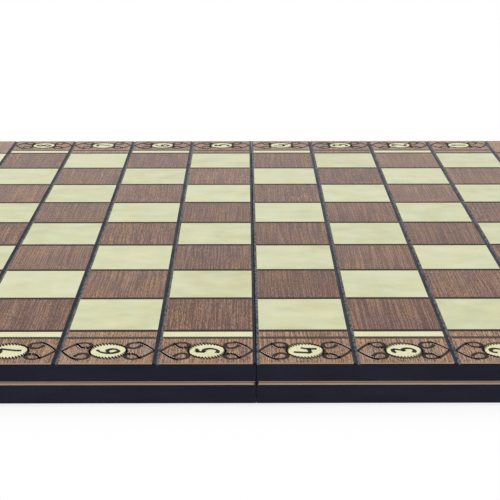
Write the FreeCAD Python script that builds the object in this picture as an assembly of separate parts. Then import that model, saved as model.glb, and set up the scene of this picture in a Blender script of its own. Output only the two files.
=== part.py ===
import FreeCAD
import Part
import math
import os

# A folding wooden game board, lying open with its chess side up. Two shallow trays meet on a fold line
# along Y. Their outsides carry the chessboard in veneer, their insides the backgammon table, and two butt
# hinges in the rims let the right tray swing down and under the left one. Two hooks on the left tray catch
# studs on the right. Millimetres. +Z is up, +X to the right of the fold, and the origin is under the fold
# on the standing surface.

Vector = FreeCAD.Vector

# Chess face: the black lines and rope bands are centred on the edges of the squares
columns_per_half = 4
rows = 8
square_pitch = 43.0
border_width = 38.0
column_line_width = 2.9
line_hollow = 0.4
line_land = 0.2
row_line_width = 2.6
strip_width = 8.7
medallion_diameter = 15.8
veneer_thickness = 0.8
inlay_gap = 0.05
edge_ease = 0.4
corner_radius = 1.2
fold_gap = 0.2

# Trays: the core panel carries the veneer and lies on four rails with comb-jointed corners
core_thickness = 4.0
rail_height = 13.8
rail_thickness = 12.0
corner_fingers = 3
side_groove_width = 1.6
side_groove_drop = 9.2

# Backgammon table: a lining under the core with the points let into it
lining_thickness = 1.2
points_per_side = 6
point_length = 160.0
point_gap = 1.0

# Butt hinges: the leaves lie in the rims, and the axis runs in the plane where the two rims meet
hinge_spacing = 240.0
hinge_length = 30.0
leaf_lip = 3.0
leaf_thickness = 0.7
leaf_clearance = 0.2
knuckle_count = 5
knuckle_gap = 0.3
pin_diameter = 1.5
pin_clearance = 0.05
barrel_relief = 0.4

# Screws: how much wood is left beyond a tip sets the lengths
screw_diameter = 1.8
screw_head_diameter = 3.6
head_recess = 0.1
pilot_clearance = 0.05
screw_cover = 4.0
screws_per_leaf = 2
slot_width = 0.6
slot_depth = 0.5

# Hooks and studs: both stand at the same height from the rims, so they face each other when the box is shut
hook_spacing = 240.0
catch_height = 5.2
hook_thickness = 1.0
hook_arm_width = 1.8
beak_length = 1.6
pivot_diameter = 2.6
stud_neck_diameter = 2.4
throat_clearance = 0.4
hook_standoff = 0.3
dome_diameter = 5.0
dome_height = 1.3

# Sizes that follow
barrel_radius = pin_diameter / 2 + pin_clearance + leaf_thickness
rim_z = barrel_radius
core_z = rim_z + rail_height
veneer_z = core_z + core_thickness
top_z = veneer_z + veneer_thickness
field_x = columns_per_half * square_pitch
field_y = rows * square_pitch / 2
half_width = field_x + border_width
half_depth = field_y + border_width
fold_x = fold_gap / 2
line_half = column_line_width / 2
band_half = row_line_width / 2
groove_z = top_z - side_groove_drop
leaf_width = rail_thickness - leaf_lip
hinge_places = (-hinge_spacing / 2, hinge_spacing / 2)
hook_places = (-hook_spacing / 2, hook_spacing / 2)
knuckle_pitch = hinge_length / knuckle_count
catch_distance = 2 * catch_height
dome_base = hook_standoff + hook_thickness + hook_standoff


def slab(x_span, y_span, z_span):
    """A box from its span along each axis."""
    spans = (x_span, y_span, z_span)
    low = Vector(*(min(span) for span in spans))
    high = Vector(*(max(span) for span in spans))
    size = high.sub(low)
    return Part.makeBox(size.x, size.y, size.z, low)


def turned(shapes):
    """The same pieces on the other half: a half turn about the board's middle."""
    return [shape.rotated(Vector(0, 0, 0), Vector(0, 0, 1), 180) for shape in shapes]


def revolved(outline, base, axis):
    """A round piece from a closed outline that touches its axis."""
    return Part.Face(outline).revolve(base, axis, 360)


def right_envelope():
    """The right half's outline: sharp along the fold, elsewhere with rounded corners and an eased top."""
    block = slab((fold_x, half_width), (-half_depth, half_depth), (rim_z, top_z))
    outer = [edge for edge in block.Edges if edge.BoundBox.XMin > fold_x]
    upright = [edge for edge in outer if abs(edge.tangentAt(edge.FirstParameter).z) > 0.5]
    rounded = block.makeFillet(corner_radius, upright)
    upper = [edge for edge in rounded.Edges if edge.BoundBox.ZMin > top_z - edge_ease]
    brim = [edge for edge in upper if edge.BoundBox.XMax > fold_x + edge_ease]
    return rounded.makeChamfer(edge_ease, brim)


envelope = right_envelope()


def trimmed(shapes):
    """Pieces cut to the outline of the half."""
    return [solid for shape in shapes for solid in shape.common(envelope).Solids]


# Tray of the right half


def rail_ring():
    """The four rails in one, with the half-round groove routed along the three outer sides."""
    height = (rim_z, core_z)
    inside = slab((fold_x + rail_thickness, half_width - rail_thickness),
                  (-half_depth + rail_thickness, half_depth - rail_thickness), height)
    ring = envelope.common(slab((fold_x, half_width), (-half_depth, half_depth), height)).cut(inside)
    radius = side_groove_width / 2
    grooves = [Part.makeCylinder(radius, half_width, Vector(0, y, groove_z), Vector(1, 0, 0))
               for y in (-half_depth, half_depth)]
    grooves.append(Part.makeCylinder(radius, 2 * half_depth, Vector(half_width, -half_depth, groove_z),
                                     Vector(0, 1, 0)))
    return ring.cut(grooves)


def corner_fingers_of(parity):
    """The fingers of the four comb joints that belong to one pair of rails."""
    finger_height = rail_height / corner_fingers
    x_spans = ((fold_x, fold_x + rail_thickness), (half_width - rail_thickness, half_width))
    y_spans = ((-half_depth, -half_depth + rail_thickness), (half_depth - rail_thickness, half_depth))
    fingers = []
    for layer in range(parity, corner_fingers, 2):
        low = rim_z + layer * finger_height
        fingers += [slab(x, y, (low, low + finger_height)) for x in x_spans for y in y_spans]
    return fingers


def countersunk_screw(x, y, growth=0.0):
    """A wood screw driven up into a rim, with its head just under the leaf's face."""
    head = screw_head_diameter / 2 + growth
    shank = screw_diameter / 2 + growth
    head_z = rim_z + head_recess
    tip_z = core_z - screw_cover + growth
    outline = Part.makePolygon([
        Vector(x, y, head_z),
        Vector(x + head, y, head_z),
        Vector(x + shank, y, head_z + head - shank),
        Vector(x + shank, y, tip_z - 2 * shank),
        Vector(x, y, tip_z),
        Vector(x, y, head_z),
    ])
    return revolved(outline, Vector(x, y, 0), Vector(0, 0, 1))


def screw_hole(x, y):
    """The screw's own form with room round it, open to the rim."""
    mouth = Part.makeCylinder(screw_head_diameter / 2 + pilot_clearance, head_recess, Vector(x, y, rim_z))
    return countersunk_screw(x, y, pilot_clearance).fuse(mouth)


def leaf_screw_places():
    """The middles of the screws in the right-hand leaves, on the middle line of each plate."""
    x = (barrel_radius + knuckle_gap + leaf_width) / 2
    spacing = hinge_length / screws_per_leaf
    first = -hinge_length / 2 + spacing / 2
    return [(x, middle + first + place * spacing)
            for middle in hinge_places for place in range(screws_per_leaf)]


def leaf_screws():
    """The leaves' screws, with a driver slot across each head."""
    places = leaf_screw_places()
    reach = screw_head_diameter
    depth = (rim_z, rim_z + head_recess + slot_depth)
    slots = [slab((x - reach, x + reach), (y - slot_width / 2, y + slot_width / 2), depth)
             for x, y in places]
    return [countersunk_screw(x, y).cut(slots) for x, y in places]


def leaf_screw_holes():
    return [screw_hole(x, y) for x, y in leaf_screw_places()]


def dome_screw(y, neck_diameter, growth=0.0):
    """A dome-headed screw in the clasp rail, whose neck stands out of the right-hand face along +X."""
    shank = screw_diameter / 2 + growth
    neck = neck_diameter / 2
    dome = dome_diameter / 2
    z = rim_z + catch_height
    tip_x = half_width - rail_thickness + screw_cover - growth
    neck_end = half_width + dome_base
    sphere = (dome ** 2 + dome_height ** 2) / (2 * dome_height)
    centre = neck_end + dome_height - sphere
    half_angle = math.asin(dome / sphere) / 2

    def at(x, radius):
        return Vector(x, y, z + radius)

    corners = [
        at(neck_end + dome_height, 0),
        at(tip_x, 0),
        at(tip_x + 2 * shank, shank),
        at(half_width, shank),
        at(half_width, neck),
        at(neck_end, neck),
        at(neck_end, dome),
    ]
    edges = [Part.makeLine(start, end) for start, end in zip(corners, corners[1:])]
    crown = at(centre + sphere * math.cos(half_angle), sphere * math.sin(half_angle))
    edges.append(Part.Arc(corners[-1], crown, corners[0]).toShape())
    return revolved(Part.Wire(edges), Vector(0, y, z), Vector(1, 0, 0))


def dome_screws(neck_diameter):
    """Both dome-headed screws, with a driver slot across each dome."""
    crown_x = half_width + dome_base + dome_height
    z = rim_z + catch_height
    slots = [slab((crown_x - slot_depth, crown_x), (y - dome_diameter, y + dome_diameter),
                  (z - slot_width / 2, z + slot_width / 2)) for y in hook_places]
    return [dome_screw(y, neck_diameter).cut(slots) for y in hook_places]


def dome_screw_holes():
    return [dome_screw(y, stud_neck_diameter, pilot_clearance) for y in hook_places]


def leaf_mortises():
    """The wood taken out of the hinge rail for the leaves and for the barrels to turn in."""
    cuts = []
    for middle in hinge_places:
        reach = hinge_length / 2 + leaf_clearance
        cuts.append(slab((0, leaf_width + leaf_clearance), (middle - reach, middle + reach),
                         (rim_z, rim_z + leaf_thickness)))
        cuts.append(Part.makeCylinder(barrel_radius + barrel_relief, 2 * reach,
                                      Vector(0, middle - reach, rim_z), Vector(0, 1, 0)))
    return cuts


def tray_pieces():
    """Core panel and rails of the right half."""
    ring = rail_ring()
    height = (rim_z, core_z)
    ends_own = corner_fingers_of(0)
    sides_own = corner_fingers_of(1)
    front = slab((fold_x, half_width), (-half_depth, -half_depth + rail_thickness), height)
    rear = slab((fold_x, half_width), (half_depth - rail_thickness, half_depth), height)
    hinge = slab((fold_x, fold_x + rail_thickness), (-half_depth, half_depth), height)
    clasp = slab((half_width - rail_thickness, half_width), (-half_depth, half_depth), height)
    core = slab((fold_x, half_width), (-half_depth, half_depth), (core_z, veneer_z))
    return {
        "core_panel": trimmed([core]),
        "front_rail": ring.common(front).cut(sides_own).Solids,
        "rear_rail": ring.common(rear).cut(sides_own).Solids,
        "hinge_rail": ring.common(hinge).cut(ends_own).cut(leaf_mortises() + leaf_screw_holes()).Solids,
        "clasp_rail": ring.common(clasp).cut(ends_own).cut(dome_screw_holes()).Solids,
    }


# Veneer of the right half's chess face


def column_span(column):
    """The clear width of a column, between its two black lines."""
    return (column * square_pitch + line_half, (column + 1) * square_pitch - line_half)


def row_span(row):
    """The clear depth of a row, between its two rope bands."""
    front = -field_y + row * square_pitch
    return (front + band_half, front + square_pitch - band_half)


def is_dark(column, row):
    return (column + row) % 2 == 1


def face_piece(x_span, y_span):
    """One piece of veneer."""
    return slab(x_span, y_span, (veneer_z, top_z))


def middle_of(span):
    return sum(span) / 2


def end_spans(inner, outer):
    """The same stretch of the board's depth at its front end and at its rear end."""
    return ((-outer, -inner), (inner, outer))


strip_end_spans = end_spans(field_y + band_half, field_y + strip_width - band_half)
border_end_spans = end_spans(field_y + strip_width + band_half, half_depth)
strip_side_span = (field_x + line_half, field_x + strip_width - band_half)
border_side_span = (field_x + strip_width + band_half, half_width)
side_span = (field_x + line_half, half_width)


def border_cells():
    """The border's cells, each with a medallion in its middle: per column at the ends, per row beside."""
    cells = [(column_span(column), end) for end in border_end_spans for column in range(columns_per_half)]
    cells += [(border_side_span, row_span(row)) for row in range(rows)]
    return cells


def medallion(cell, radius):
    x_span, y_span = cell
    base = Vector(middle_of(x_span), middle_of(y_span), veneer_z)
    return Part.makeCylinder(radius, veneer_thickness, base)


def squares(dark):
    return [face_piece(column_span(column), row_span(row))
            for column in range(columns_per_half) for row in range(rows) if is_dark(column, row) == dark]


def strips(dark):
    """The narrow strips round the squares, each of the other colour than the square beside it."""
    end_rows = (0, rows - 1)
    pieces = [face_piece(column_span(column), end)
              for row, end in zip(end_rows, strip_end_spans)
              for column in range(columns_per_half) if is_dark(column, row) != dark]
    pieces += [face_piece(strip_side_span, row_span(row))
               for row in range(rows) if is_dark(columns_per_half - 1, row) != dark]
    return pieces


def border_veneer():
    """Cells bored for their medallions, plain corners, and the dark strips of the same wood."""
    bored = [face_piece(*cell).cut(medallion(cell, medallion_diameter / 2)) for cell in border_cells()]
    corners = [face_piece(side_span, end) for end in end_spans(field_y + band_half, half_depth)]
    return trimmed(bored + corners) + strips(True)


def medallions():
    return [medallion(cell, medallion_diameter / 2 - inlay_gap) for cell in border_cells()]


def hollow(middle):
    """The shallow round hollow along the top of a black line, with a narrow land left on each side."""
    half_chord = line_half - line_land
    radius = (half_chord ** 2 + line_hollow ** 2) / (2 * line_hollow)
    base = Vector(middle, -half_depth, top_z + radius - line_hollow)
    return Part.makeCylinder(radius, 2 * half_depth, base, Vector(0, 1, 0))


def column_lines():
    """The black lines that run the full depth of the board, with half a flat line along the fold."""
    lines = [face_piece((fold_x, line_half), (-half_depth, half_depth))]
    for column in range(1, columns_per_half + 1):
        middle = column * square_pitch
        line = face_piece((middle - line_half, middle + line_half), (-half_depth, half_depth))
        lines.append(line.cut(hollow(middle)))
    return trimmed(lines)


def rope_bands():
    """The thin rope-patterned bands between the rows, and along the outer edge of the strips."""
    bands = []
    for row in range(rows + 1):
        edge = -field_y + row * square_pitch
        y_span = (edge - band_half, edge + band_half)
        bands += [face_piece(column_span(column), y_span) for column in range(columns_per_half)]
        bands.append(face_piece(side_span, y_span))
    outer = field_y + strip_width
    for y_span in end_spans(outer - band_half, outer + band_half):
        bands += [face_piece(column_span(column), y_span) for column in range(columns_per_half)]
    x_span = (field_x + strip_width - band_half, field_x + strip_width + band_half)
    bands += [face_piece(x_span, row_span(row)) for row in range(rows)]
    return trimmed(bands)


# Backgammon table of the right half


def point_prisms(dark):
    """Long triangles from the front and rear rails towards the middle, dark and light in turn."""
    low = fold_x + rail_thickness
    bay = (half_width - rail_thickness - low) / points_per_side
    prisms = []
    for place in range(points_per_side):
        left = low + place * bay + point_gap / 2
        right = low + (place + 1) * bay - point_gap / 2
        front_is_dark = place % 2 == 0
        end = -1 if front_is_dark == dark else 1
        base = end * (half_depth - rail_thickness)
        tip = base - end * point_length
        corners = [Vector(left, base, core_z), Vector(right, base, core_z),
                   Vector((left + right) / 2, tip, core_z)]
        outline = Part.makePolygon(corners + corners[:1])
        prisms.append(Part.Face(outline).extrude(Vector(0, 0, -lining_thickness)))
    return prisms


def table_lining():
    """The floor of the table, with the points cut out of it."""
    x_span = (fold_x + rail_thickness, half_width - rail_thickness)
    y_span = (-half_depth + rail_thickness, half_depth - rail_thickness)
    lining = slab(x_span, y_span, (core_z - lining_thickness, core_z))
    return lining.cut(point_prisms(True) + point_prisms(False)).Solids


# Hinges


def knuckle_spans(middle, first):
    """The stretches of the barrel that belong to one leaf: every second one, from the first."""
    start = middle - hinge_length / 2 + knuckle_gap / 2
    length = knuckle_pitch - knuckle_gap
    lows = [start + place * knuckle_pitch for place in range(first, knuckle_count, 2)]
    return [(low, low + length) for low in lows]


def right_leaf(middle, first):
    """A right-hand leaf: a plate with tongues rolled round the pin as knuckles."""
    height = (rim_z, rim_z + leaf_thickness)
    plate_x = barrel_radius + knuckle_gap
    leaf = slab((plate_x, leaf_width), (middle - hinge_length / 2, middle + hinge_length / 2), height)
    axis = Vector(0, 1, 0)
    for start, end in knuckle_spans(middle, first):
        base = Vector(0, start, rim_z)
        tongue = slab((0, plate_x), (start, end), height)
        knuckle = Part.makeCylinder(barrel_radius, end - start, base, axis)
        bore = Part.makeCylinder(pin_diameter / 2 + pin_clearance, end - start, base, axis)
        leaf = leaf.fuse([tongue, knuckle]).cut(bore)
    return leaf.removeSplitter().cut(leaf_screw_holes()).Solids


def left_leaf(middle, first):
    return [leaf.mirror(Vector(0, 0, 0), Vector(1, 0, 0)) for leaf in right_leaf(middle, first)]


def hinge_pin(middle):
    return [Part.makeCylinder(pin_diameter / 2, hinge_length, Vector(0, middle - hinge_length / 2, rim_z),
                              Vector(0, 1, 0))]


# Hooks


def hook(y):
    """A flat hook lying along the left-hand side, its eye on the pivot and its throat open downwards."""
    throat = stud_neck_diameter / 2 + throat_clearance
    outer = throat + hook_arm_width
    beak = (throat + outer) / 2
    slant = math.sqrt(0.5)
    x = -half_width - hook_standoff

    def at(along, up):
        return Vector(x, y + along, rim_z + catch_height + up)

    def arc(start, through, end):
        return Part.Arc(at(*start), at(*through), at(*end)).toShape()

    def line(start, end):
        return Part.makeLine(at(*start), at(*end))

    reach = catch_distance
    eye_x = math.sqrt(outer ** 2 - throat ** 2)
    edges = [
        line((0, outer), (reach, outer)),
        arc((reach, outer), (reach + outer * slant, outer * slant), (reach + outer, 0)),
        line((reach + outer, 0), (reach + outer, -beak_length)),
        arc((reach + outer, -beak_length), (reach + beak, -beak_length - hook_arm_width / 2),
            (reach + throat, -beak_length)),
        line((reach + throat, -beak_length), (reach + throat, 0)),
        arc((reach + throat, 0), (reach + throat * slant, throat * slant), (reach, throat)),
        line((reach, throat), (eye_x, throat)),
        arc((eye_x, throat), (0, -outer), (0, outer)),
    ]
    plate = Part.Face(Part.Wire(edges)).extrude(Vector(-hook_thickness, 0, 0))
    eye = Part.makeCylinder(pivot_diameter / 2 + pin_clearance, hook_thickness, at(0, 0), Vector(-1, 0, 0))
    return plate.cut(eye).Solids


# The whole board: the left half is the right half turned round


def half_pieces():
    pieces = tray_pieces()
    pieces["dark_squares"] = squares(True)
    pieces["light_squares"] = squares(False)
    pieces["border_veneer"] = border_veneer()
    pieces["light_strips"] = strips(False)
    pieces["medallions"] = medallions()
    pieces["column_lines"] = column_lines()
    pieces["rope_bands"] = rope_bands()
    pieces["table_lining"] = table_lining()
    pieces["dark_points"] = point_prisms(True)
    pieces["light_points"] = point_prisms(False)
    pieces["hinge_screws"] = leaf_screws()
    return pieces


turned_names = {"front_rail": "rear_rail", "rear_rail": "front_rail"}
nodes = {}
for name, shapes in half_pieces().items():
    nodes["right_" + name] = shapes
    nodes["left_" + turned_names.get(name, name)] = turned(shapes)
for place, middle in zip(("front", "rear"), hinge_places):
    nodes[place + "_hinge_left_leaf"] = left_leaf(middle, 0)
    nodes[place + "_hinge_right_leaf"] = right_leaf(middle, 1)
    nodes[place + "_hinge_pin"] = hinge_pin(middle)
for place, middle in zip(("front", "rear"), hook_places):
    nodes[place + "_hook"] = hook(middle)
nodes["hook_screws"] = turned(dome_screws(pivot_diameter))
nodes["catch_studs"] = dome_screws(stud_neck_diameter)

os.makedirs("parts", exist_ok=True)
for name, shapes in nodes.items():
    node = shapes[0] if len(shapes) == 1 else Part.makeCompound(shapes)
    node.exportStep("parts/" + name + ".step")
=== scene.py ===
import math

import bpy
from mathutils import Matrix, Vector
from mathutils.geometry import interpolate_bezier


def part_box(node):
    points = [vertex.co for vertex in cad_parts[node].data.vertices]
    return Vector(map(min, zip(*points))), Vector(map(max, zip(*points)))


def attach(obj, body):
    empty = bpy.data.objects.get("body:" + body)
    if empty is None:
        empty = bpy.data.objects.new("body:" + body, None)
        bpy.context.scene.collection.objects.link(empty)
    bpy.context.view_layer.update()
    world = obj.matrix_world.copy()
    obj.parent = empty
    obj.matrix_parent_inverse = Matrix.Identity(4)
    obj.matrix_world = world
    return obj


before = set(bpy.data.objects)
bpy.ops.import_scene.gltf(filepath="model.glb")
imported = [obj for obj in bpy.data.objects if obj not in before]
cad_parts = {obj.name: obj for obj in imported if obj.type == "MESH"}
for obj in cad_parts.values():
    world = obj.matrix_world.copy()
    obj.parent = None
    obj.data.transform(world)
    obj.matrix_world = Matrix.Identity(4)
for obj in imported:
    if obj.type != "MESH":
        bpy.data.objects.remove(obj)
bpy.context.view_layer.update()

# Trays: each half is a shallow box of four solid wood rails under a plywood core, sprayed with black satin
# paint outside and left bare inside. The groove is routed along the outer sides after painting, so it shows
# raw wood, with a darker line of painted shade along its bottom and dirt in it next to the fold.

halves = ("left", "right")
paint_black = (0.003, 0.004, 0.0145, 1)
paint_scuffed = (0.018, 0.021, 0.037, 1)
raw_wood = (0.64, 0.53, 0.43, 1)
raw_wood_streak = (0.44, 0.33, 0.24, 1)
groove_shade = (0.22, 0.13, 0.08, 1)
groove_half_width = 0.0008
groove_drop = 0.0092
groove_slack = 0.000016
groove_dirt_end = 0.0015
groove_clean_start = 0.0022
groove_dirt_wander = 0.002
groove_shade_half_width = 0.00022
dirt_grain = (700, 700, 700)
fibre_grain = (60, 60, 1900)
cloud_grain = (28, 28, 90)
scuff_grain = (900, 900, 2600)
orange_peel_grain = (650, 650, 650)
rail_thickness = 0.012
face_slack = 0.0002
rail_low, rail_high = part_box("right_clasp_rail")
board_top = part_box("right_dark_squares")[1].z
board_edge = rail_high.x


class Finish:
    """A procedural finish: a Principled shader, and short calls for the nodes that feed it."""

    def __init__(self, name, roughness, specular=0.5, metallic=0.0):
        self.material = bpy.data.materials.new(name)
        self.material.use_nodes = True
        self.tree = self.material.node_tree
        self.shader = self.tree.nodes["Principled BSDF"]
        self.shader.inputs["Roughness"].default_value = roughness
        self.shader.inputs["Specular IOR Level"].default_value = specular
        self.shader.inputs["Metallic"].default_value = metallic
        self.place = self.node("ShaderNodeTexCoord").outputs["Object"]

    def feed(self, socket, value):
        if isinstance(value, bpy.types.NodeSocket):
            self.tree.links.new(value, socket)
        else:
            socket.default_value = value

    def node(self, kind, inputs=None, **settings):
        made = self.tree.nodes.new(kind)
        for name, value in settings.items():
            setattr(made, name, value)
        for socket, value in (inputs or {}).items():
            self.feed(made.inputs[socket], value)
        return made

    def math(self, operation, *values, clamp=False):
        inputs = dict(enumerate(values))
        return self.node("ShaderNodeMath", inputs, operation=operation, use_clamp=clamp).outputs[0]

    def vector(self, operation, *values):
        return self.node("ShaderNodeVectorMath", dict(enumerate(values)), operation=operation).outputs[0]

    def axis(self, name, source=None):
        split = self.node("ShaderNodeSeparateXYZ", {0: source or self.place})
        return split.outputs[name]

    def noise(self, factors, detail=2.0, roughness=0.5, distortion=0.0, source=None):
        """Noise that changes so many times per metre along each axis."""
        inputs = {"Vector": self.vector("MULTIPLY", source or self.place, factors), "Scale": 1.0,
                  "Detail": detail, "Roughness": roughness, "Distortion": distortion}
        return self.node("ShaderNodeTexNoise", inputs).outputs[0]

    def remap(self, value, low, high, to_low=0.0, to_high=1.0):
        inputs = {0: value, 1: low, 2: high, 3: to_low, 4: to_high}
        return self.node("ShaderNodeMapRange", inputs, interpolation_type="SMOOTHSTEP").outputs[0]

    def mix(self, factor, first, second, blend="MIX"):
        inputs = {0: factor, 6: first, 7: second}
        return self.node("ShaderNodeMix", inputs, data_type="RGBA", blend_type=blend).outputs[2]

    def ramp(self, factor, *stops):
        made = self.node("ShaderNodeValToRGB", {0: factor})
        elements = made.color_ramp.elements
        while len(elements) < len(stops):
            elements.new(0.5)
        for element, (position, colour) in zip(elements, stops):
            element.position = position
            element.color = colour
        return made.outputs[0]

    def bump(self, height, distance, strength=1.0):
        made = self.node("ShaderNodeBump", {"Strength": strength, "Distance": distance, "Height": height})
        self.feed(self.shader.inputs["Normal"], made.outputs[0])

    def colour(self, value):
        self.feed(self.shader.inputs["Base Color"], value)

    def rough(self, value):
        self.feed(self.shader.inputs["Roughness"], value)


def dress(node, finish):
    """Gives a node of the frame its finish."""
    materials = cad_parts[node].data.materials
    materials.clear()
    materials.append(finish.material)


def painted_wood():
    """Black paint on the outside and the rims, raw wood in the groove and on the inner walls."""
    paint = Finish("black_paint", roughness=0.42, specular=0.16)
    x = paint.math("ABSOLUTE", paint.axis("X"))
    y = paint.math("ABSOLUTE", paint.axis("Y"))
    z = paint.axis("Z")
    off_middle = paint.math("ABSOLUTE", paint.math("SUBTRACT", z, board_top - groove_drop))
    at_groove = paint.math("LESS_THAN", off_middle, groove_half_width + groove_slack)
    rim = 2 * groove_half_width
    outside = paint.math("MAXIMUM", paint.math("GREATER_THAN", x, board_edge - rim),
                         paint.math("GREATER_THAN", y, rail_high.y - rim))
    dirt = paint.math("ADD", x, paint.math("MULTIPLY", paint.noise(dirt_grain), groove_dirt_wander))
    clean = paint.math("MULTIPLY", outside, paint.remap(dirt, groove_dirt_end, groove_clean_start))
    groove = paint.math("MULTIPLY", at_groove, clean)
    wall_x = board_edge - rail_thickness
    wall_y = rail_high.y - rail_thickness
    inner_y = paint.math("LESS_THAN", y, wall_y + face_slack)
    inner_x = paint.math("MULTIPLY", paint.math("LESS_THAN", x, wall_x + face_slack),
                         paint.math("GREATER_THAN", x, rail_thickness - face_slack))
    above_rim = paint.math("GREATER_THAN", z, rail_low.z + face_slack)
    inside = paint.math("MULTIPLY", paint.math("MULTIPLY", inner_x, inner_y), above_rim)

    fibre = paint.noise(fibre_grain, 4, 0.6)
    wood = paint.mix(fibre, raw_wood, raw_wood_streak)
    # Painted shade: a darker line along the bottom of the groove, where its hollow is deepest.
    groove_shade_edge = paint.math("ADD", off_middle, paint.math("MULTIPLY", fibre, groove_shade_half_width))
    groove_shade_mask = paint.remap(groove_shade_edge, groove_shade_half_width, 3 * groove_shade_half_width, 0.85, 0.0)
    groove_wood = paint.mix(groove_shade_mask, wood, groove_shade)

    cloud = paint.noise(cloud_grain, 4, 0.6)
    scuff = paint.remap(paint.noise(scuff_grain, 3, 0.7), 0.62, 0.8, 0.0, 0.7)
    coat = paint.mix(paint.math("MULTIPLY", scuff, cloud), paint_black, paint_scuffed)
    coat = paint.mix(paint.remap(cloud, 0.35, 0.75, 0.0, 0.35), coat, paint_scuffed)
    shown = paint.mix(inside, coat, wood)
    paint.colour(paint.mix(groove, shown, groove_wood))
    bare = paint.math("MAXIMUM", groove, inside)
    satin = paint.math("ADD", paint.remap(cloud, 0.2, 0.8, 0.36, 0.5), paint.math("MULTIPLY", bare, 0.25))
    paint.rough(paint.math("MAXIMUM", satin, paint.math("LESS_THAN", x, face_slack)))
    orange_peel = paint.noise(orange_peel_grain)
    relief = paint.math("ADD", orange_peel, paint.math("MULTIPLY", bare, fibre))
    paint.bump(relief, distance=0.00005, strength=0.5)
    return paint


black_paint = painted_wood()
for half in halves:
    for piece in ("core_panel", "front_rail", "rear_rail", "hinge_rail", "clasp_rail"):
        dress(f"{half}_{piece}", black_paint)

# Dark squares: sliced mahogany veneer, glued to the core with the grain along the fold, stained red-brown and
# lacquered. Each square is cut from another part of the leaf, so tone and figure change from one to the next.

square_pitch = 0.043
lacquer = 0.085
black = (0, 0, 0, 1)
stripe_grain = (2200, 24, 1800)
speck_grain = (3600, 480, 3600)
pore_grain = (3200, 70, 1400)
band_grain = (120, 10, 60)
mottle_grain = (60, 90, 60)
tint_grain = (70, 45, 70)
bend_grain = (12, 30, 12)
bend_depth = 0.002
ripple_grain = (45, 120, 45)
ripple_depth = 0.0004
stripe_depth = 0.48
speck_depth = 1.6
band_depth = 0.2
plain_mottle = 1.1
figured_mottle = 0.15
stripe_gloss = 0.12
grain_relief = 0.00004
plain_relief = 0.08
figured_relief = 0.35


def grained_wood(name, deep, middle, light, cool, warm, figure, pores, gloss, variety):
    """Lacquered veneer with nearly straight grain along Y: thin stripes, short specks and dark pores."""
    wood = Finish(name, roughness=gloss, specular=lacquer)
    cell = wood.vector("FLOOR", wood.vector("DIVIDE", wood.place, (square_pitch,) * 3))
    chance = wood.node("ShaderNodeTexWhiteNoise", {"Vector": cell}, noise_dimensions="3D")
    leaf = wood.vector("ADD", wood.place, chance.outputs["Color"])
    bend = wood.math("MULTIPLY", wood.noise(bend_grain, source=leaf), bend_depth)
    ripple = wood.math("MULTIPLY", wood.noise(ripple_grain, source=leaf), ripple_depth)
    sway = wood.node("ShaderNodeCombineXYZ", {0: wood.math("ADD", bend, ripple)}).outputs[0]
    leaf = wood.vector("ADD", leaf, sway)

    def swing(value, amount):
        return wood.math("MULTIPLY", wood.math("SUBTRACT", value, 0.5), amount)

    def by_figure(plain, figured):
        return plain + (figured - plain) * figure

    stripe = wood.remap(wood.noise(stripe_grain, 0, source=leaf), 0.36, 0.68)
    speck = wood.noise(speck_grain, 0, source=leaf)
    band = wood.noise(band_grain, source=leaf)
    mottle = wood.noise(mottle_grain, source=leaf)
    tone = wood.math("ADD", swing(stripe, stripe_depth * figure), swing(speck, speck_depth * figure))
    tone = wood.math("ADD", tone, swing(band, band_depth))
    tone = wood.math("ADD", tone, swing(mottle, by_figure(plain_mottle, figured_mottle)))
    tone = wood.math("ADD", tone, swing(chance.outputs["Value"], variety))
    tone = wood.math("ADD", tone, 0.5, clamp=True)
    base = wood.ramp(tone, (0.02, deep), (0.5, middle), (0.98, light))
    tint = wood.ramp(wood.noise(tint_grain, 2, 0.6, source=leaf), (0.35, cool), (0.65, warm))
    base = wood.mix(1.0, base, tint, "MULTIPLY")
    pore = wood.remap(wood.noise(pore_grain, 0, source=leaf), 0.3, 0.42, pores, 0.0)
    wood.colour(wood.mix(pore, base, black))
    wood.rough(wood.math("ADD", swing(stripe, stripe_gloss * figure), gloss))
    relief = wood.math("SUBTRACT", stripe, wood.math("MULTIPLY", pore, 0.5))
    wood.bump(relief, grain_relief, by_figure(plain_relief, figured_relief))
    return wood


mahogany = grained_wood("mahogany", deep=(0.072, 0.023, 0.01, 1), middle=(0.178, 0.083, 0.048, 1),
                        light=(0.385, 0.23, 0.15, 1), cool=(0.9, 0.9, 1.1, 1), warm=(1.13, 1.1, 0.9, 1),
                        figure=1.0, pores=0.3, gloss=0.26, variety=0.22)
for half in halves:
    dress(f"{half}_dark_squares", mahogany)

# Light squares: maple veneer of even tone with hardly any grain, cut and glued like the dark squares. The
# lacquer over it has turned it a little greenish.

maple = grained_wood("maple", deep=(0.55, 0.535, 0.3, 1), middle=(0.67, 0.67, 0.42, 1),
                     light=(0.755, 0.765, 0.525, 1), cool=(0.98, 1.01, 1.04, 1), warm=(1.015, 1.0, 0.95, 1),
                     figure=0.03, pores=0.005, gloss=0.26, variety=0.2)
for half in halves:
    dress(f"{half}_light_squares", maple)

# Border: strips of a more orange mahogany round the squares, trimmed flush and eased with a block plane. The
# black of the sides was sprayed up to that eased edge, so it covers the thin edge of the veneer under it.

edge_ease = 0.0004
eased_edge_highlight = (0.42, 0.29, 0.19, 1)


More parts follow.
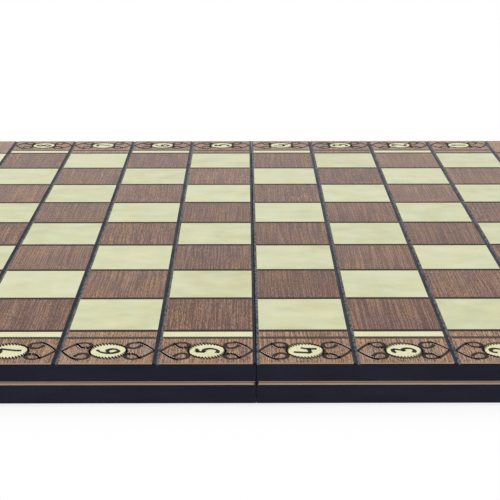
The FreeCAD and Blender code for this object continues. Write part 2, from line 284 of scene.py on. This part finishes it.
def edged_mahogany():
    """Mahogany with a painted highlight that makes the eased edge paler, and black paint below it."""
    border = grained_wood("border_mahogany", deep=(0.12, 0.048, 0.022, 1), middle=(0.325, 0.177, 0.105, 1),
                          light=(0.5, 0.33, 0.23, 1), cool=(0.9, 0.94, 1.1, 1), warm=(1.1, 1.04, 0.84, 1),
                          figure=1.0, pores=0.3, gloss=0.28, variety=0.2)
    x = border.math("ABSOLUTE", border.axis("X"))
    y = border.math("ABSOLUTE", border.axis("Y"))
    reach = border.math("MAXIMUM", x, y)
    # Painted highlight: the eased edge is paler, where it catches the light.
    highlight_mask = border.remap(reach, board_edge - 2 * edge_ease, board_edge - edge_ease, 0.0, 0.75)
    at_side = border.math("GREATER_THAN", reach, board_edge - edge_ease / 2)
    below = border.math("LESS_THAN", border.axis("Z"), board_top - edge_ease)
    painted = border.math("MULTIPLY", at_side, below)
    colour = border.shader.inputs["Base Color"].links[0].from_socket
    border.colour(border.mix(painted, border.mix(highlight_mask, colour, eased_edge_highlight), paint_black))
    return border


border_mahogany = edged_mahogany()
for half in halves:
    dress(f"{half}_border_veneer", border_mahogany)

# Light strips and medallions: a yellower veneer than the maple, let into the border. The strips are sliced
# with a knife and the round medallions are punched, and both lie flush under the lacquer.

pale_inlay = grained_wood("pale_inlay", deep=(0.7, 0.665, 0.39, 1), middle=(0.785, 0.765, 0.475, 1),
                          light=(0.84, 0.825, 0.55, 1), cool=(0.99, 1.0, 1.02, 1), warm=(1.01, 1.0, 0.96, 1),
                          figure=0.12, pores=0.02, gloss=0.28, variety=0.1)
for half in halves:
    dress(f"{half}_light_strips", pale_inlay)
    dress(f"{half}_medallions", pale_inlay)

# Black lines: beads of black-dyed wood with a hollow face, let in between the columns and along the fold as
# far as the board's edge. They lie under the same lacquer, and a painted highlight greys one side of each.

dye_deep = (0.003, 0.003, 0.006, 1)
dye_faded = (0.012, 0.012, 0.02, 1)
dye_highlight = (0.124, 0.132, 0.15, 1)
highlight_start = -0.0001
highlight_end = 0.0008
dye_streak_grain = (1500, 40, 900)
dye_cloud_grain = (60, 60, 60)
highlight_patch_grain = (800, 300, 400)


def dyed_wood():
    """Black-dyed wood, with a painted highlight in grey along the right-hand side of each line."""
    line = Finish("black_line", roughness=0.3, specular=0.036)
    streak = line.noise(dye_streak_grain, 4, 0.6)
    cloud = line.noise(dye_cloud_grain, 3, 0.6)
    dyed = line.ramp(streak, (0.3, dye_deep), (0.75, dye_faded))
    x = line.axis("X")
    middle = line.math("MULTIPLY", line.math("ROUND", line.math("DIVIDE", x, square_pitch)), square_pitch)
    # Painted highlight: lighter grey across the right-hand side of each line, in patches.
    highlight_mask = line.remap(line.math("SUBTRACT", x, middle), highlight_start, highlight_end)
    patches = line.remap(line.noise(highlight_patch_grain, 2, 0.7), 0.38, 0.68, 0.15, 2.2)
    line.colour(line.mix(line.math("MULTIPLY", highlight_mask, patches), dyed, dye_highlight))
    fold = line.math("LESS_THAN", line.math("ABSOLUTE", x), face_slack)
    line.rough(line.math("MAXIMUM", line.remap(cloud, 0.3, 0.7, 0.26, 0.4), fold))
    line.bump(streak, distance=0.00004, strength=0.4)
    return line


black_line = dyed_wood()
for half in halves:
    dress(f"{half}_column_lines", black_line)

# Rope bands: thin bands of scorched veneer, let in across the columns and round the border. Slanted strokes
# are burnt into them one by one, like the strands of a rope, and all lean the same way.

columns_per_half = 4
rows = 8
field_half = columns_per_half * square_pitch
stroke_rise = 0.00003
stroke_sink = 0.00005
band_width = 0.0026
column_line_width = 0.0029
strip_width = 0.0087
strand_pitch = 0.0013
strand_width = 0.00066
strand_lean = 0.0011
strand_reach = 0.0001
burnt_black = (0.008, 0.006, 0.005, 1)
burnt_brown = (0.03, 0.018, 0.011, 1)
border_band = (0.28, 0.22, 0.19, 1)
border_band_share = 0.35
band_specular = 0.04
ash_grain = (2200, 2200, 900)


def burnt_stroke_finish():
    """Charred wood, black with brown where it is less burnt."""
    burn = Finish("burnt_stroke", roughness=0.45, specular=0.06)
    ash = burn.noise(ash_grain, 3, 0.7)
    burn.colour(burn.ramp(ash, (0.35, burnt_black), (0.75, burnt_brown)))
    burn.bump(ash, distance=0.00003, strength=0.6)
    return burn


class Strokes:
    """Thin burnt strokes that lie on the face of one half, gathered in one mesh."""

    def __init__(self, name, rise=stroke_rise):
        self.name = name
        self.rise = rise
        self.points = []
        self.faces = []

    def ribbon(self, lefts, rights):
        """A closed low strip between two rows of points, given as pairs in the plane of the face."""
        first = len(self.points)
        count = len(lefts)
        low = board_top - stroke_sink
        high = board_top + self.rise
        for left, right in zip(lefts, rights):
            self.points += [(*left, low), (*left, high), (*right, high), (*right, low)]
        for step in range(count - 1):
            here = first + 4 * step
            for side in range(4):
                after = (side + 1) % 4
                self.faces.append((here + side, here + after, here + 4 + after, here + 4 + side))
        last = first + 4 * (count - 1)
        self.faces.append((first + 3, first + 2, first + 1, first))
        self.faces.append((last, last + 1, last + 2, last + 3))

    def trace(self, path, widths):
        """A strip along a path, as wide at each point as widths says."""
        lefts, rights = [], []
        for place, point in enumerate(path):
            ahead = path[min(place + 1, len(path) - 1)]
            behind = path[max(place - 1, 0)]
            along = (ahead - behind).normalized()
            aside = Vector((-along.y, along.x)) * widths[place] / 2
            lefts.append(point + aside)
            rights.append(point - aside)
        self.ribbon(lefts, rights)

    def lay(self, half, finish):
        """Puts the strokes in the scene as one piece that moves with its half."""
        mesh = bpy.data.meshes.new(self.name)
        mesh.from_pydata(self.points, [], self.faces)
        mesh.update()
        mesh.materials.append(finish.material)
        piece = bpy.data.objects.new(self.name, mesh)
        bpy.context.scene.collection.objects.link(piece)
        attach(piece, f"{half}_half")


def turn_of(half):
    """The right half lies as drawn, and the left half is the same turned round."""
    return 1 if half == "right" else -1


def strands(strokes, start, end, turn):
    """Slanted strokes side by side along a band from start to end, kept between its ends."""
    along = (end - start).normalized()
    across = Vector((-along.y, along.x))
    length = (end - start).length
    count = int((length - strand_lean) / strand_pitch)
    first = (length - (count - 1) * strand_pitch) / 2
    reach = along * strand_lean / 2 - across * (band_width / 2 + strand_reach)
    aside = along * strand_width / 2
    for place in range(count):
        middle = start + along * (first + place * strand_pitch)
        tips = (middle - reach, middle + reach)
        strokes.ribbon([turn * (tip - aside) for tip in tips], [turn * (tip + aside) for tip in tips])


def band_lines():
    """The middle lines of the bands on the right half, each from start to end."""
    half_line = column_line_width / 2
    outer = field_half + strip_width
    edges = [column * square_pitch for column in range(columns_per_half + 1)]
    columns = [(low + half_line, high - half_line) for low, high in zip(edges, edges[1:])]
    lines = []
    for row in range(rows + 1):
        y = row * square_pitch - field_half
        for low, high in columns + [(field_half + half_line, board_edge)]:
            lines.append((Vector((low, y)), Vector((high, y))))
    for y in (-outer, outer):
        lines += [(Vector((low, y)), Vector((high, y))) for low, high in columns]
    for row in range(rows):
        low = row * square_pitch - field_half + band_width / 2
        lines.append((Vector((outer, low)), Vector((outer, low + square_pitch - band_width))))
    return lines


def scorched_veneer():
    """Dark brown in the field, and less scorched in the border, where the strands stand out."""
    band = grained_wood("rope_band", deep=(0.012, 0.008, 0.006, 1), middle=(0.03, 0.02, 0.015, 1),
                        light=(0.065, 0.044, 0.033, 1), cool=(0.97, 1.0, 1.05, 1), warm=(1.04, 1.0, 0.92, 1),
                        figure=0.8, pores=0.4, gloss=0.35, variety=0.15)
    band.shader.inputs["Specular IOR Level"].default_value = band_specular
    x = band.math("ABSOLUTE", band.axis("X"))
    y = band.math("ABSOLUTE", band.axis("Y"))
    in_border = band.math("GREATER_THAN", band.math("MAXIMUM", x, y), field_half + strip_width / 2)
    scorched = band.shader.inputs["Base Color"].links[0].from_socket
    band.colour(band.mix(band.math("MULTIPLY", in_border, border_band_share), scorched, border_band))
    return band


rope_band = scorched_veneer()
burnt_stroke = burnt_stroke_finish()
for half in halves:
    dress(f"{half}_rope_bands", rope_band)
    rope = Strokes(f"{half}_rope_strands")
    for start, end in band_lines():
        strands(rope, start, end, turn_of(half))
    rope.lay(half, burnt_stroke)

# Scrollwork: burnt into the border with a fine hot point. A toothed ring runs round each medallion, and on
# each side of it two scrolls make a heart whose tip points at the black line. Parts of the scrolls are roped:
# the outer edge has teeth, and flecks of bare wood along the inner edge are painted pale as a highlight.

medallion_radius = 0.00785
ring_width = 0.0005
ring_ticks = 36
ring_gap = 0.0003
scroll_width = 0.0014
lobe_width = 0.0019
tick_length = 0.0031
tick_width = 0.00075
tick_pitch = 0.0012
tick_slant = Vector((0.38, -0.92))
fleck_length = 0.00095
fleck_width = 0.00045
fleck_shift = 0.0007
fleck_rise = 0.00005
fleck_highlight = (0.64, 0.57, 0.49, 1)
fleck_dull = (0.32, 0.24, 0.19, 1)
fleck_grain = (900, 900, 900)
scroll_steps = 10
# Handles of one scroll's curves, in millimetres along and across the border from the medallion's middle
scroll_knots = (
    ((20.0, 0.0), (17.8, 3.6), (14.9, 9.2), (11.3, 9.3)),
    ((11.3, 9.3), (9.0, 9.3), (7.8, 7.9), (7.9, 5.9)),
    ((7.9, 5.9), (8.1, 2.4), (12.6, 0.8), (14.4, 7.6)),
)
millimetre = 0.001
row_letters = "abcdefgh"


def scroll_path():
    """One scroll of a heart, from the tip round the lobe to its curled end."""
    path = []
    for knots in scroll_knots:
        corners = [Vector((u, v, 0)) * millimetre for u, v in knots]
        piece = interpolate_bezier(*corners, scroll_steps)
        path += [point.to_2d() for point in piece[1 if path else 0:]]
    return path


def border_cells():
    """Each cell on the right half's three sides: its middle, the direction along the border, its label, and
    the label of the same cell on the left half."""
    cells = []
    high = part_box("right_medallions")[1]
    end = high.y - medallion_radius
    for column in range(columns_per_half):
        x = (column + 0.5) * square_pitch
        number = str(columns_per_half - column)
        turned_number = str(columns_per_half + column + 1)
        for y in (-end, end):
            cells.append((Vector((x, y)), Vector((1, 0)), number, turned_number))
    side = high.x - medallion_radius
    for row, (letter, turned_letter) in enumerate(zip(row_letters, reversed(row_letters))):
        y = (row + 0.5) * square_pitch - field_half
        cells.append((Vector((side, y)), Vector((0, 1)), letter, turned_letter))
    return cells


def ticks_along(path):
    """Points at even steps along a path."""
    gone = tick_pitch
    places = []
    for before, after in zip(path, path[1:]):
        step = (after - before).length
        while gone <= step:
            places.append(before.lerp(after, gone / step))
            gone += tick_pitch
        gone -= step
    return places


def bare_fleck_highlight_finish():
    """Wood that the hot point has spared, painted pale as a highlight, with duller patches."""
    bare = Finish("bare_fleck_highlight", roughness=0.4, specular=lacquer)
    fleck = bare.noise(fleck_grain, 3, 0.7)
    # Painted highlight: pale flecks that stand for light caught between the burnt strokes.
    bare.colour(bare.ramp(fleck, (0.3, fleck_dull), (0.7, fleck_highlight)))
    bare.bump(fleck, distance=0.00003, strength=0.5)
    return bare


def scrollwork(strokes, flecks, middle, along, turn):
    """The burnt lines round one medallion, and bare flecks painted pale as highlight along the roped ones."""
    across = Vector((-along.y, along.x))

    def on_face(point):
        return turn * (middle + along * point.x + across * point.y)

    def tick(point):
        reach = tick_slant * tick_length / 2
        strokes.trace([on_face(point - reach), on_face(point + reach)], [tick_width] * 2)

    def fleck(point):
        reach = tick_slant * fleck_length / 2
        flecks.trace([on_face(point - reach), on_face(point + reach)], [fleck_width] * 2)

    angles = [math.pi * place / ring_ticks for place in range(2 * ring_ticks + 1)]
    ring_radius = medallion_radius + ring_gap
    ring = [Vector((math.cos(angle), math.sin(angle))) * ring_radius for angle in angles]
    strokes.trace([on_face(point) for point in ring], [ring_width] * len(ring))
    for point in ring[:-1:2]:
        tick(point)
    for side in (1, -1):
        for lobe in (1, -1):
            path = [Vector((side * p.x, lobe * p.y)) for p in scroll_path()]
            swells = [min(1.0, place / (2 * scroll_steps)) for place in range(len(path))]
            widths = [scroll_width + (lobe_width - scroll_width) * swell for swell in swells]
            strokes.trace([on_face(point) for point in path], widths)
            roped = path[:scroll_steps] if side == lobe else path[2 * scroll_steps:]
            inward = Vector((0, -lobe)) * fleck_shift
            places = ticks_along(roped)
            for point in places:
                tick(point - inward)
            for before, after in zip(places, places[1:]):
                fleck(before.lerp(after, 0.5) + inward)


bare_fleck_highlight = bare_fleck_highlight_finish()
for half in halves:
    scrolls = Strokes(f"{half}_scrollwork")
    flecks = Strokes(f"{half}_scroll_flecks", fleck_rise)
    for middle, along, *_ in border_cells():
        scrollwork(scrolls, flecks, middle, along, turn_of(half))
    scrolls.lay(half, burnt_stroke)
    flecks.lay(half, bare_fleck_highlight)

# Numbers and letters: burnt into the medallions with a broad-edged point, so they are thick and thin like pen
# strokes. The numbers count the columns at the front and the rear, and the letters the rows at the sides.

glyph_height = 0.0102
pen_broad = 0.215
pen_thin = 0.12
pen_angle = math.radians(40)
glyph_steps = 6
glyph_middle = Vector((0.3, 0.5))
# Pen strokes of each label, in parts of its height
glyphs = {
    "1": [[(0.1, 0.76), (0.34, 1.0)], [(0.34, 1.0), (0.3, 0.5), (0.28, 0.0)]],
    "2": [[(0.04, 0.74), (0.14, 0.95), (0.4, 0.97), (0.5, 0.76), (0.34, 0.44), (0.06, 0.04)],
          [(0.06, 0.04), (0.3, 0.1), (0.56, 0.02)]],
    "3": [[(0.08, 0.84), (0.14, 0.95), (0.48, 0.96)], [(0.48, 0.96), (0.36, 0.66), (0.22, 0.46)],
          [(0.22, 0.46), (0.42, 0.52), (0.54, 0.34), (0.46, 0.12), (0.26, 0.04), (0.06, 0.1)]],
    "4": [[(0.14, 1.0), (0.04, 0.28)], [(0.04, 0.28), (0.6, 0.36)], [(0.62, 0.68), (0.5, 0.4), (0.5, 0.0)]],
    "5": [[(0.54, 0.97), (0.36, 0.9), (0.2, 0.96)], [(0.2, 0.96), (0.16, 0.58)],
          [(0.16, 0.58), (0.38, 0.62), (0.54, 0.38), (0.42, 0.1), (0.22, 0.02), (0.05, 0.08)]],
    "6": [[(0.44, 1.0), (0.2, 0.84), (0.05, 0.56), (0.06, 0.28), (0.24, 0.06), (0.46, 0.16), (0.5, 0.38),
           (0.34, 0.54), (0.1, 0.46)]],
    "7": [[(0.04, 0.92), (0.28, 0.88), (0.54, 0.94)],
          [(0.54, 0.94), (0.44, 0.56), (0.36, 0.22), (0.36, 0.0)]],
    "8": [[(0.28, 0.52), (0.08, 0.74), (0.28, 0.97), (0.48, 0.74), (0.28, 0.52), (0.05, 0.26), (0.28, 0.03),
           (0.52, 0.26), (0.28, 0.52)]],
    "a": [[(0.46, 0.58), (0.24, 0.66), (0.06, 0.38), (0.16, 0.06), (0.36, 0.12), (0.47, 0.42)],
          [(0.49, 0.66), (0.44, 0.16), (0.56, 0.04)]],
    "b": [[(0.12, 1.0), (0.1, 0.05)], [(0.1, 0.44), (0.3, 0.64), (0.5, 0.4), (0.36, 0.06), (0.1, 0.08)]],
    "c": [[(0.46, 0.54), (0.28, 0.66), (0.08, 0.42), (0.14, 0.12), (0.32, 0.03), (0.5, 0.14)]],
    "d": [[(0.5, 1.0), (0.46, 0.04)], [(0.46, 0.48), (0.28, 0.65), (0.06, 0.4), (0.16, 0.06), (0.34, 0.08),
                                       (0.47, 0.3)]],
    "e": [[(0.08, 0.34), (0.46, 0.42), (0.38, 0.63), (0.22, 0.65), (0.06, 0.36), (0.16, 0.06), (0.34, 0.03),
           (0.5, 0.14)]],
    "f": [[(0.5, 0.92), (0.36, 1.0), (0.25, 0.8), (0.22, 0.02)], [(0.06, 0.6), (0.44, 0.6)]],
    "g": [[(0.46, 0.58), (0.26, 0.66), (0.08, 0.44), (0.18, 0.18), (0.38, 0.22), (0.46, 0.46)],
          [(0.49, 0.66), (0.46, 0.02), (0.28, -0.18), (0.08, -0.1)]],
    "h": [[(0.12, 1.0), (0.08, 0.02)], [(0.08, 0.4), (0.28, 0.64), (0.44, 0.5), (0.44, 0.02)]],
}


def smooth(corners):
    """A flowing line through the corners of a pen stroke."""
    points = [Vector(corner) for corner in corners]
    padded = [2 * points[0] - points[1], *points, 2 * points[-1] - points[-2]]
    line = [points[0]]
    for before, start, end, after in zip(padded, padded[1:], padded[2:], padded[3:]):
        handle_out = start + (end - before) / 6
        handle_in = end - (after - start) / 6
        flat = [point.to_3d() for point in (start, handle_out, handle_in, end)]
        line += [point.to_2d() for point in interpolate_bezier(*flat, glyph_steps)[1:]]
    return line


def write(strokes, label, middle, turn):
    """A label on a medallion, with its head to the left."""
    for stroke in glyphs[label]:
        line = smooth(stroke)
        path, widths = [], []
        for place, point in enumerate(line):
            ahead = line[min(place + 1, len(line) - 1)]
            behind = line[max(place - 1, 0)]
            heading = math.atan2(ahead.y - behind.y, ahead.x - behind.x)
            pen = pen_thin + (pen_broad - pen_thin) * abs(math.sin(heading - pen_angle))
            widths.append(pen * glyph_height)
            offset = (point - glyph_middle) * glyph_height
            path.append(turn * middle + Vector((-offset.y, offset.x)))
        strokes.trace(path, widths)


for half in halves:
    labels = Strokes(f"{half}_labels")
    for middle, _, label, turned_label in border_cells():
        write(labels, label if half == "right" else turned_label, middle, turn_of(half))
    labels.lay(half, burnt_stroke)

# Backgammon table: a thin beech lining glued under the core of each tray, lacquered satin. Long points of the
# dark and the light veneer are let into it flush, six of each on a half.

beech = grained_wood("beech", deep=(0.36, 0.2, 0.095, 1), middle=(0.5, 0.31, 0.155, 1),
                     light=(0.6, 0.4, 0.22, 1), cool=(0.98, 1.0, 1.03, 1), warm=(1.03, 1.0, 0.95, 1),
                     figure=0.5, pores=0.25, gloss=0.36, variety=0.1)
for half in halves:
    dress(f"{half}_table_lining", beech)
    dress(f"{half}_dark_points", mahogany)
    dress(f"{half}_light_points", maple)

# Hinges and their screws: stamped brass leaves rolled round a drawn steel pin, let in flush with the rims and
# held by two countersunk brass screws each.

brass_clean = (0.78, 0.56, 0.23, 1)
brass_tarnished = (0.42, 0.27, 0.09, 1)
steel_dull = (0.42, 0.42, 0.43, 1)
steel_bright = (0.66, 0.66, 0.67, 1)
stain_grain = (420, 420, 420)
scratch_grain = (2600, 160, 2600)
drawn_grain = (3000, 120, 3000)


def worn_brass():
    """Polished brass, tarnished in patches and finely scratched."""
    brass = Finish("brass", roughness=0.24, metallic=1.0)
    stain = brass.noise(stain_grain, 4, 0.65)
    scratch = brass.noise(scratch_grain, 3, 0.6)
    brass.colour(brass.mix(brass.remap(stain, 0.45, 0.72, 0.0, 0.8), brass_clean, brass_tarnished))
    dulled = brass.remap(stain, 0.3, 0.7, 0.16, 0.34)
    brass.rough(brass.math("ADD", dulled, brass.math("MULTIPLY", scratch, 0.1)))
    brass.bump(scratch, distance=0.00003, strength=0.4)
    return brass


def drawn_steel():
    """Steel wire with the marks of the die along it."""
    steel = Finish("steel", roughness=0.3, metallic=1.0)
    drawn = steel.noise(drawn_grain, 3, 0.6)
    steel.colour(steel.ramp(drawn, (0.3, steel_dull), (0.75, steel_bright)))
    steel.bump(drawn, distance=0.00002, strength=0.4)
    return steel


brass = worn_brass()
steel = drawn_steel()
for end in ("front", "rear"):
    dress(f"{end}_hinge_left_leaf", brass)
    dress(f"{end}_hinge_right_leaf", brass)
    dress(f"{end}_hinge_pin", steel)
for half in halves:
    dress(f"{half}_hinge_screws", brass)

# Hooks and studs: two flat hooks, stamped from brass sheet, swing on dome-headed screws in the left tray's
# side. When the box is shut they catch two turned brass studs in the side of the right tray.

for piece in ("front_hook", "rear_hook", "hook_screws", "catch_studs"):
    dress(piece, brass)

# Studio: a pale floor, white all round and one broad soft lamp above. To the eye the floor is a clear sheet
# that darkens towards the board, so it is as white as the backdrop and keeps a soft shadow. The camera stands
# in front of the fold and a little above the board, and takes a square picture.

world_light = 0.72
backdrop_light = 1.0
lamp_power = 9.0
lamp_size = 1.6
lamp_place = Vector((-0.5, -0.3, 1.5))
floor_half = 3.0
floor_grey = (0.93, 0.93, 0.93, 1)
floor_white = (0.96, 0.96, 0.96, 1)
floor_grain = (3, 3, 3)
shade_depth = 0.15
shade_reach = 0.15
gap_shade = 0.3
rim_shade = 0.0038
camera_place = Vector((-0.0048, -0.7175, 0.2339))
camera_tilt = math.radians(17.82)
camera_yaw = math.radians(0.24)
picture_side = 500
focal_pixels = 1287.6
sensor_width = 36.0
white = (1, 1, 1, 1)

world = bpy.data.worlds.new("studio")
bpy.context.scene.world = world
world.use_nodes = True
links = world.node_tree.links
nodes = world.node_tree.nodes
background = nodes["Background"]
background.inputs["Color"].default_value = white
rays = nodes.new("ShaderNodeLightPath")
seen = rays.outputs["Is Camera Ray"]
for kind in ("Is Glossy Ray", "Is Transmission Ray"):
    either = nodes.new("ShaderNodeMath")
    either.operation = "MAXIMUM"
    links.new(seen, either.inputs[0])
    links.new(rays.outputs[kind], either.inputs[1])
    seen = either.outputs[0]
strength = nodes.new("ShaderNodeMapRange")
links.new(seen, strength.inputs["Value"])
strength.inputs["To Min"].default_value = world_light
strength.inputs["To Max"].default_value = backdrop_light
links.new(strength.outputs[0], background.inputs["Strength"])

floor_mesh = bpy.data.meshes.new("floor")
floor_corners = [(x * floor_half, y * floor_half, 0) for x, y in ((-1, -1), (1, -1), (1, 1), (-1, 1))]
floor_mesh.from_pydata(floor_corners, [], [(0, 1, 2, 3)])
floor = bpy.data.objects.new("floor", floor_mesh)
bpy.context.scene.collection.objects.link(floor)
pale = Finish("pale_floor", roughness=0.9, specular=0.0)
pale.colour(pale.ramp(pale.noise(floor_grain), (0.2, floor_grey), (0.8, floor_white)))
path = pale.node("ShaderNodeLightPath").outputs
mirrored = pale.math("MAXIMUM", path["Is Glossy Ray"], path["Is Transmission Ray"])
looked_at = pale.math("MAXIMUM", path["Is Camera Ray"], mirrored)
openness = pale.node("ShaderNodeAmbientOcclusion", {"Distance": shade_reach}).outputs["AO"]
reach = pale.math("MAXIMUM", pale.math("ABSOLUTE", pale.axis("X")), pale.math("ABSOLUTE", pale.axis("Y")))
beside = pale.math("GREATER_THAN", reach, board_edge - rim_shade)
under = pale.math("MAXIMUM", beside, pale.remap(openness, 0.0, gap_shade))
shade = pale.math("MULTIPLY", under, pale.remap(openness, 0.0, 1.0, 1 - shade_depth, 1.0))
clear = pale.node("ShaderNodeBsdfTransparent", {"Color": shade}).outputs[0]
sheet = pale.node("ShaderNodeMixShader", {0: looked_at, 1: pale.shader.outputs[0], 2: clear})
pale.feed(pale.tree.nodes["Material Output"].inputs["Surface"], sheet.outputs[0])
floor_mesh.materials.append(pale.material)
floor.visible_shadow = False

lamp = bpy.data.lights.new("softbox", "AREA")
lamp.energy = lamp_power
lamp.size = lamp_size
softbox = bpy.data.objects.new("softbox", lamp)
softbox.location = lamp_place
softbox.rotation_euler = (-lamp_place).to_track_quat("-Z", "Y").to_euler()
bpy.context.scene.collection.objects.link(softbox)

lens = bpy.data.cameras.new("camera")
lens.sensor_width = sensor_width
lens.lens = sensor_width * focal_pixels / picture_side
camera = bpy.data.objects.new("camera", lens)
aim = Matrix.Rotation(-camera_yaw, 4, "Z") @ Matrix.Rotation(math.pi / 2 - camera_tilt, 4, "X")
camera.matrix_world = Matrix.Translation(camera_place) @ aim
bpy.context.scene.collection.objects.link(camera)
bpy.context.scene.camera = camera
bpy.context.scene.view_settings.view_transform = "Standard"
